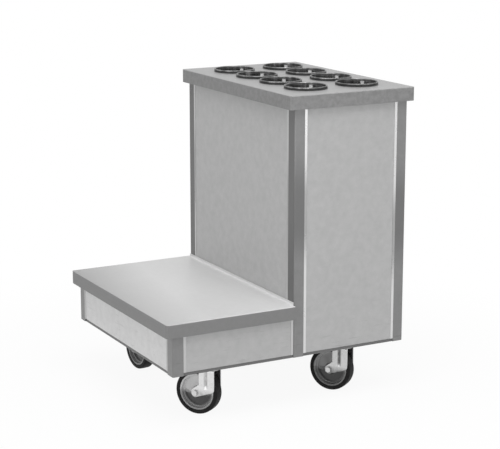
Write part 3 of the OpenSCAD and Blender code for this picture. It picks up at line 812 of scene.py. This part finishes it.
def strip_path(trail, foot_steps=30, knee_steps=10, leg_steps=14, bend_steps=9, crown_steps=15):
    """Along the outer skin: (along the axle, height), the way out, and the two edges.
    A leg goes straight up, a quarter circle leads over to the level crown, and back down."""
    foot = wheel_r - boss_r * np.cos(np.linspace(0, np.pi, foot_steps))
    rise = np.concatenate([foot, np.linspace(foot[-1], knee_z, knee_steps)[1:],
                           [knee_z + past_knee],
                           np.linspace(knee_z + above_knee, crown_z - bend_r, leg_steps)])
    angle = np.linspace(0, np.pi / 2, bend_steps)[1:]
    x = np.concatenate([np.full(len(rise), -leg_out), -leg_out + bend_r * (1 - np.cos(angle))])
    z = np.concatenate([rise, crown_z - bend_r * (1 - np.sin(angle))])
    out = np.concatenate([np.tile([-1.0, 0.0], (len(rise), 1)),
                          np.stack([-np.cos(angle), np.sin(angle)], -1)])
    low, high = leg_edges(z, trail)
    crown = np.linspace(x[-1], -x[-1], crown_steps)[1:-1]
    level = np.full(len(crown), crown_z)
    path = np.concatenate([np.stack([x, z], -1), np.stack([crown, level], -1),
                           np.stack([-x, z], -1)[::-1]])
    out = np.concatenate([out, np.tile([0.0, 1.0], (len(crown), 1)), (out * [-1, 1])[::-1]])
    edges = [np.concatenate([side, np.full(len(crown), side[-1]), side[::-1]])
             for side in (low, high)]
    return path, out, *edges


print("the strip turns with", bend_r * 1000, "mm radius")

# %% [markdown]
# The surface has two parameters: s runs along the path, and t runs round the strip's own
# section, whose four edges are rounded. A shallow channel is pressed into each leg to stiffen
# it. It could be carved afterwards, but a bell curve that sinks both skins alike keeps the strip
# at one thickness, and says at the same time where the channel's painted shade lies.

# %% The bent strip
strip = 0.0032
strip_edge_r = 0.0007
margin = 0.03
channel_at = 0.002
channel_half = 0.0050
channel_deep = 0.0016
run_out = 0.010
foot_darkening = 0.8
foot_dark_rise = 0.016


def strip_section(low, high, edge_points=4, flat_points=31):
    """Across and depth round the strip's section: across goes between the edges, and depth from
    0 on the outer skin to the strip's thickness, with quarter circles at the edges."""
    arc = np.linspace(0, np.pi / 2, edge_points)
    inset = strip_edge_r * (1 - np.cos(arc))
    drop = strip_edge_r * (1 - np.sin(arc))
    flat = np.zeros(flat_points)
    share = np.linspace(margin, 1 - margin, flat_points)
    from_edge = np.concatenate([inset, flat, -inset[::-1]])
    part = np.concatenate([np.zeros(edge_points), share, np.ones(edge_points)])
    depth = np.concatenate([drop, flat, drop[::-1]])
    width = (high - low)[:, None]
    fit = np.clip(width / (4 * strip_edge_r), 0, 1)
    across = low[:, None] + width * part + from_edge * fit
    across = np.concatenate([across, across[:, ::-1]], 1)
    return across, np.concatenate([depth, strip - depth[::-1]])


def fork_strip(swivel, spin):
    """Point = swivel axis + axle direction * x + rolling direction * across + up * z, where x
    and z lie depth under the outer skin. The channel adds to the depth, in each leg,
    channel_deep * exp(-((across - channel_at) / channel_half)^6), and runs out at both ends.
    Darkening is 1 in the channel, as painted shade, and grows to 0.8 down the foot."""
    axle = np.asarray(spin["axis"], float)
    roll = np.cross([0, 0, 1], axle)
    reach = np.asarray(spin["pos_m"]) - np.asarray(swivel["pos_m"])
    path, out, low, high = strip_path(float(reach @ roll))
    across, depth = strip_section(low, high)
    height = path[:, 1:]
    in_leg = (np.clip((height - toe_z) / run_out, 0, 1)
              * np.clip((crown_z - height) / run_out, 0, 1))
    # Painted shade: the channel is darkened through this number.
    channel = in_leg * np.exp(-((across - channel_at) / channel_half) ** 6)
    sunk = depth + channel_deep * channel
    place = np.array([swivel["pos_m"][0], swivel["pos_m"][1], 0.0])
    x = path[:, :1] - out[:, :1] * sunk
    z = height - out[:, 1:] * sunk
    points = (place + x[..., None] * axle + across[..., None] * roll
              + z[..., None] * np.array([0, 0, 1.0]))
    # Darker towards the foot.
    foot_dark = foot_darkening * np.clip((toe_z - height) / foot_dark_rise, 0, 1)
    return points, np.maximum(channel / channel.max(), foot_dark)


print("the channel is", channel_deep * 1000, "mm deep")

# %% [markdown]
# The round seat on the crown carries the ball race: a plate, a wider step that the balls run
# round and a narrower one above it. It could be joined to the strip with a Boolean, but where
# the two meet is out of sight under the top plate, so the seat is simply turned and set on the
# crown.

# %% Forks
seat_r = 0.031
kingpin_bore_r = 0.0062
step_r = 0.026
step_z = 0.0088
cone_r = 0.0222
cone_z = 0.0158


def seat_section():
    """The round crown plate, the two steps of the ball race's seat, and the kingpin's hole."""
    profile = [(kingpin_bore_r, -strip), (seat_r, -strip), (seat_r, 0), (step_r, 0.0004),
               (step_r, step_z), (cone_r, step_z), (cone_r, cone_z), (kingpin_bore_r, cone_z)]
    return rounded(profile, [0.0004, 0.0014, 0.0014, 0.0016, 0.0008, 0.0008, 0.0010, 0.0004])


for corner in corners:
    swivel, spin = joints["swivel_" + corner], joints["spin_" + corner]
    seat_centre = (swivel["pos_m"][0], swivel["pos_m"][1], crown_z)
    points, grime = fork_strip(swivel, spin)
    grids = [(points, False, True), turned(seat_section(), seat_centre, (0, 0, 1), 72)]
    new_piece("fork_pressed_" + corner, grids,
              "swivel_" + corner, "fork_" + corner, grime)
print("forks", len(corners))

# %% [markdown]
# The stage is a pale floor that keeps the cart's soft shadow. The picture's ground is pure
# white, and more light would bleach the cart as well. So the floor glows for the camera and in
# reflections, a little less near the cart and fully further out, and lights nothing. The sky
# does the same.

# %% Floor and sky
floor_reach = 6.0
near_glow = 0.93
glow_starts = 0.5
glow_is_full = 1.4
sky_level = 0.42


def seen_rays(wiring):
    """1 for camera, mirror and glass rays, and 0 for the rays that carry light about."""
    camera_ray, mirror_ray, glass_ray = [
        wiring.add("ShaderNodeLightPath", output=name)
        for name in ("Is Camera Ray", "Is Glossy Ray", "Is Transmission Ray")]
    return wiring.add("ShaderNodeMath", {"operation": "ADD", "use_clamp": True},
                      {0: camera_ray + mirror_ray, 1: glass_ray})


def white_stage():
    """A square floor whose white glow grows to 1 with the distance from the cart."""
    ends = [(-1, -1), (1, -1), (1, 1), (-1, 1)]
    mesh = bpy.data.meshes.new("floor")
    mesh.from_pydata([(x * floor_reach, y * floor_reach, 0) for x, y in ends],
                     [], [(0, 1, 2, 3)])
    floor = bpy.data.objects.new("floor", mesh)
    bpy.context.scene.collection.objects.link(floor)
    finish = Finish("floor_white")
    finish.set(Base_Color=grey(0.82), Roughness=0.9, Specular_IOR_Level=0.0)
    glow = finish.fade(finish.length(finish.place), glow_starts, glow_is_full, near_glow, 1.0,
                       "SMOOTHSTEP")
    light = finish.add("ShaderNodeEmission", None, {"Color": grey(1.0), "Strength": 1.0})
    mixed = finish.add("ShaderNodeMixShader", None,
                       {0: seen_rays(finish) * glow, 1: finish.shaded, 2: light})
    finish.feed(finish.surface, mixed)
    mesh.materials.append(finish.material)


def white_sky(level):
    """A sky that lights the cart at level and is seen as plain white."""
    world = bpy.data.worlds.new("white_sky")
    bpy.context.scene.world = world
    world.use_nodes = True
    sky = world.node_tree.nodes["Background"]
    wiring = Wiring(world.node_tree)
    wiring.feed(sky.inputs["Color"], grey(1.0))
    wiring.feed(sky.inputs["Strength"], level + seen_rays(wiring) * (1 - level))


white_stage()
white_sky(sky_level)
print("floor", 2 * floor_reach, "m wide, sky at", sky_level)

# %% [markdown]
# The cart stands in studio light: one wide box overhead, a little towards the camera, and two
# weaker ones, from the shelf end and from the long side. Small lamps would make hard spots on
# the steel, and wide boxes give soft shadows and broad, even sheens.

# %% Lamps
cart_middle = Vector((0, 0, 0.4))


def soft_box(name, place, size, power):
    """A square lamp at place that faces the middle of the cart: size metres wide, power watts."""
    data = bpy.data.lights.new(name, "AREA")
    data.shape = "SQUARE"
    data.size = size
    data.energy = power
    lamp = bpy.data.objects.new(name, data)
    lamp.location = place
    lamp.rotation_euler = (cart_middle - Vector(place)).to_track_quat("-Z", "Y").to_euler()
    bpy.context.scene.collection.objects.link(lamp)


soft_box("overhead_box", (-0.4, -1.0, 3.6), 2.6, 90)
soft_box("shelf_end_box", (-3.8, -1.2, 1.0), 2.0, 30)
soft_box("front_box", (1.2, -4.2, 1.2), 2.2, 31)
bpy.context.scene.view_settings.view_transform = "Standard"
print("lamps", len(bpy.data.lights))

# %% [markdown]
